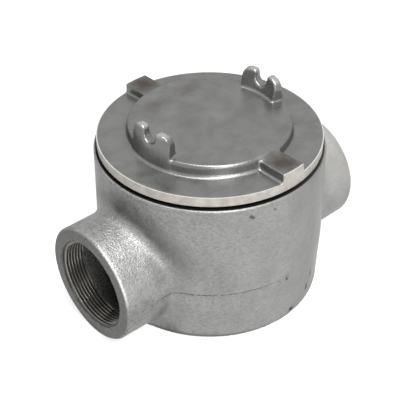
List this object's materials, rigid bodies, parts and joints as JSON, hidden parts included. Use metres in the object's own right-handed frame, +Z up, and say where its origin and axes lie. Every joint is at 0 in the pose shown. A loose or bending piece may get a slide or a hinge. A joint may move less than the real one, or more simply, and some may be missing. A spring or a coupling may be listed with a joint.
{
  "type": "threaded round junction box",
  "caption": "Cast round junction box with opposite tapped conduit hubs and a screw-on cover with wrench lugs; it houses wire splices.",
  "frame": {"origin": "centre of the flat base, on the vertical axis of the box", "axes": "+Z up along the thread axis of the cover, hubs along -X and +X"},
  "size_m": [0.202, 0.1518, 0.1361],
  "materials": {
    "body_casting": "sand-cast, zinc finish",
    "cover_casting": "sand-cast, machined rim",
    "seal_rubber": "smooth black",
    "screw_finish": "green zinc"
  },
  "bodies": {
    "box": {"box_body": "body_casting", "ground_screw": "screw_finish"},
    "seal": {"cover_o_ring": "seal_rubber"},
    "cover": {"screw_cover": "cover_casting"}
  },
  "joints": [
    {"name": "cover_lift", "type": "slide", "parent": "box", "child": "seal", "axis": [0, 0, 1], "range_m": [0, 0.01376]},
    {"name": "cover_turn", "type": "hinge", "parent": "seal", "child": "cover", "pos_m": [0, 0, 0.1071], "axis": [0, 0, 1], "range_deg": [0, 2340]}
  ],
  "couplings": [
    {"joint": "cover_lift", "follows": "cover_turn", "m_per_rad": 0.00033688}
  ]
}
